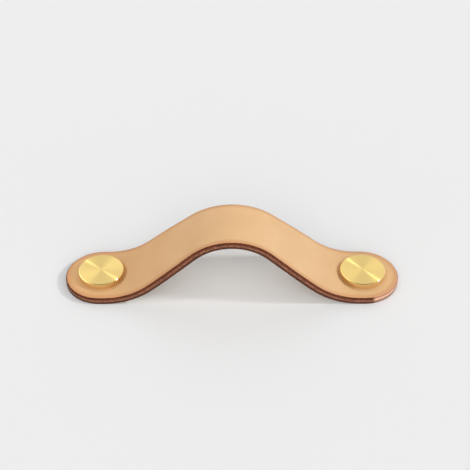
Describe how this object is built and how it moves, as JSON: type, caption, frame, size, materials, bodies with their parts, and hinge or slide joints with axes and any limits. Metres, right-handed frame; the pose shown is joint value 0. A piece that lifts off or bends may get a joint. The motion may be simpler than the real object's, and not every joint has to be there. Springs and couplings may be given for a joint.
{
  "type": "leather strap pull",
  "caption": "Arched leather strap pull with round ends, a slimmer grip and turned brass heads, for a drawer or cupboard door.",
  "frame": {"origin": "on the mounting plane under the strap's flat ends, midway between the two fixing holes", "axes": "+X along the strap from the left head to the right head, +Y across the strap, +Z out of the mounting plane towards the arch"},
  "size_m": [0.163, 0.035, 0.0362],
  "materials": {
    "tan_leather": "smooth vegetable-tanned grain side, natural tan, with rounded and brown-dyed cut edges",
    "turned_brass": "bright brass, face turned with fine concentric grooves, side wall polished"
  },
  "bodies": {
    "root": {"strap": "tan_leather", "left_head": "turned_brass", "right_head": "turned_brass"}
  },
  "joints": []
}
